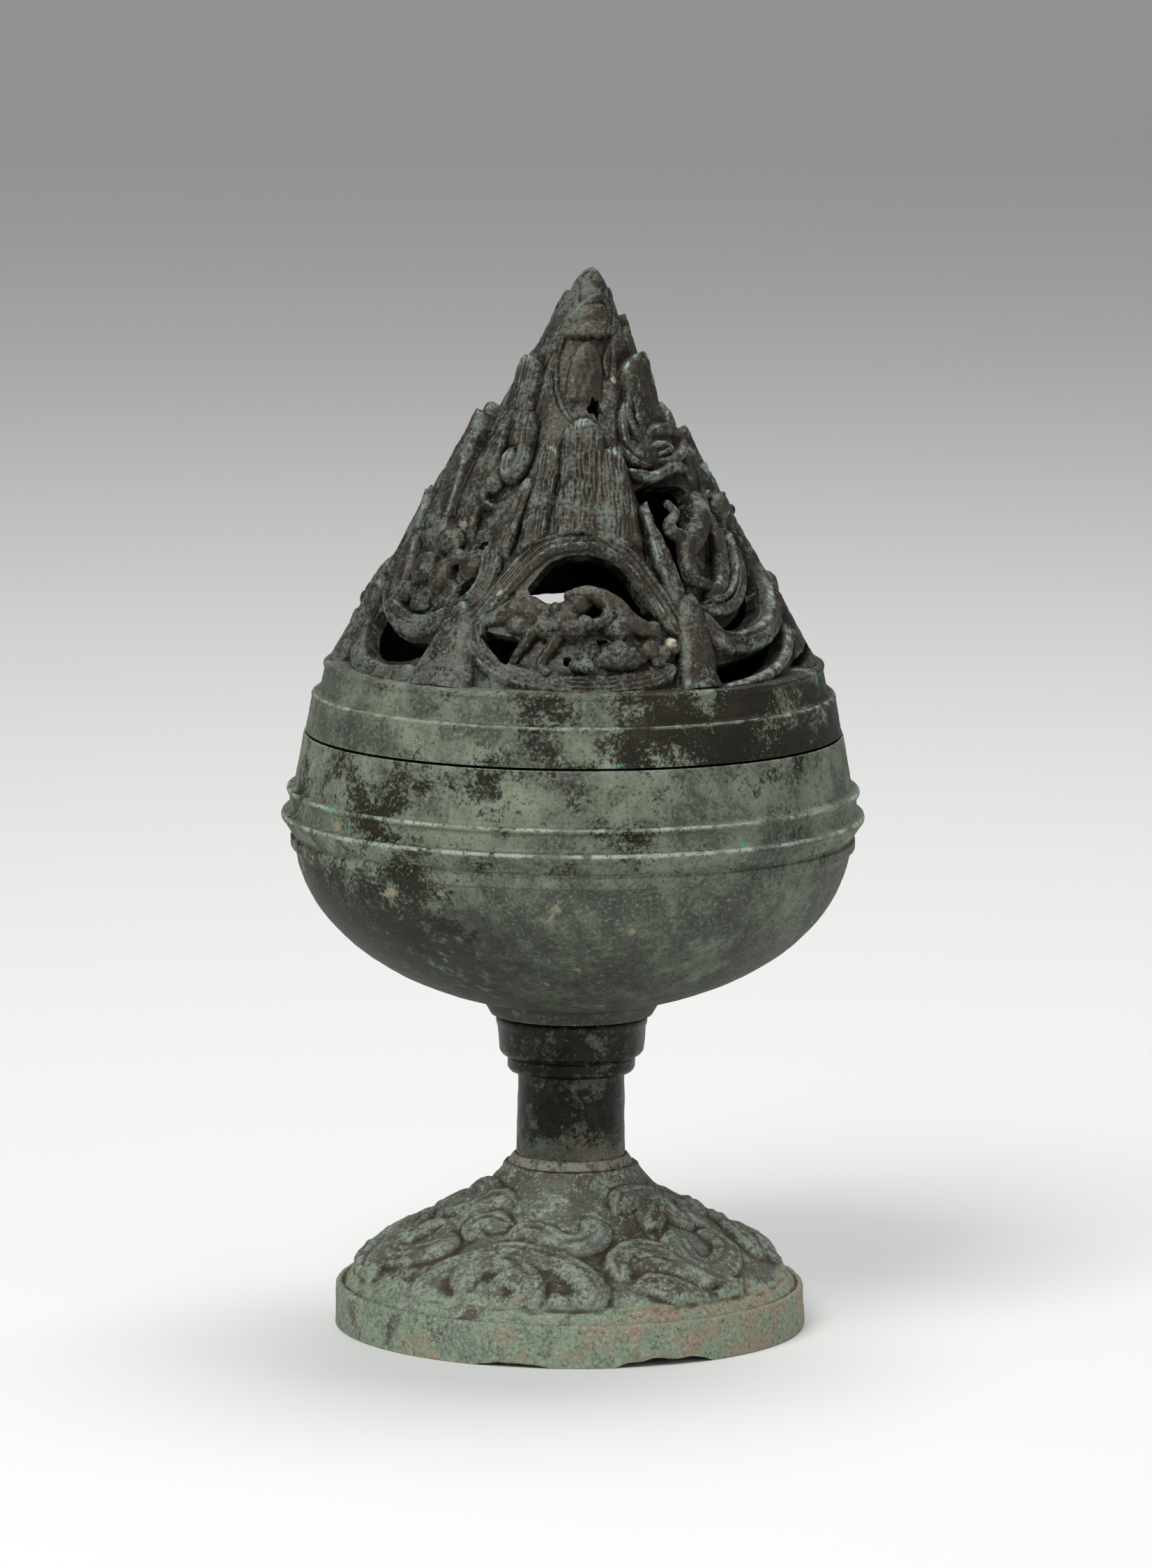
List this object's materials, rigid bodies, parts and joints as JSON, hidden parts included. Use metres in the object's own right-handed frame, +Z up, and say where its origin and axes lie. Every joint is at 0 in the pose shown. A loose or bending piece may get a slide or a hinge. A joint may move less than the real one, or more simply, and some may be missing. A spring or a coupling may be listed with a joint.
{
  "type": "incense burner",
  "caption": "Footed bronze incense burner: round bowl on a stem and domed foot, with a lift-off openwork lid shaped as a mountain with beasts that lets the smoke out.",
  "frame": {"origin": "centre of the ring that the foot stands on, at the bottom of the object", "axes": "+Z up along the axis of the stem, -Y towards the arch with the two beasts, +X to the right of it"},
  "size_m": [0.1258, 0.1258, 0.23],
  "materials": {
    "bronze_green": "matt green patina over bronze",
    "bronze_brown": "dark brown patina over bronze",
    "bronze_pale": "pale granular green patina over bronze",
    "iron_rust": "rusted",
    "solder_grey": "dull tin solder"
  },
  "bodies": {
    "base": {"foot": "bronze_pale", "stem": "bronze_green", "solder_ring": "solder_grey", "collar": "bronze_green", "rivet": "iron_rust", "bowl": "bronze_green"},
    "lid": {"lid_shell": "bronze_brown", "front_tiger": "bronze_brown", "front_boar": "bronze_brown", "right_ape": "bronze_brown", "left_bear": "bronze_brown", "rear_right_tiger": "bronze_brown", "rear_left_boar": "bronze_brown", "rear_bear": "bronze_brown"}
  },
  "joints": [
    {"name": "lid_lift", "type": "slide", "parent": "base", "child": "lid", "axis": [0, 0, 1], "range_m": [0, 0.12]}
  ]
}
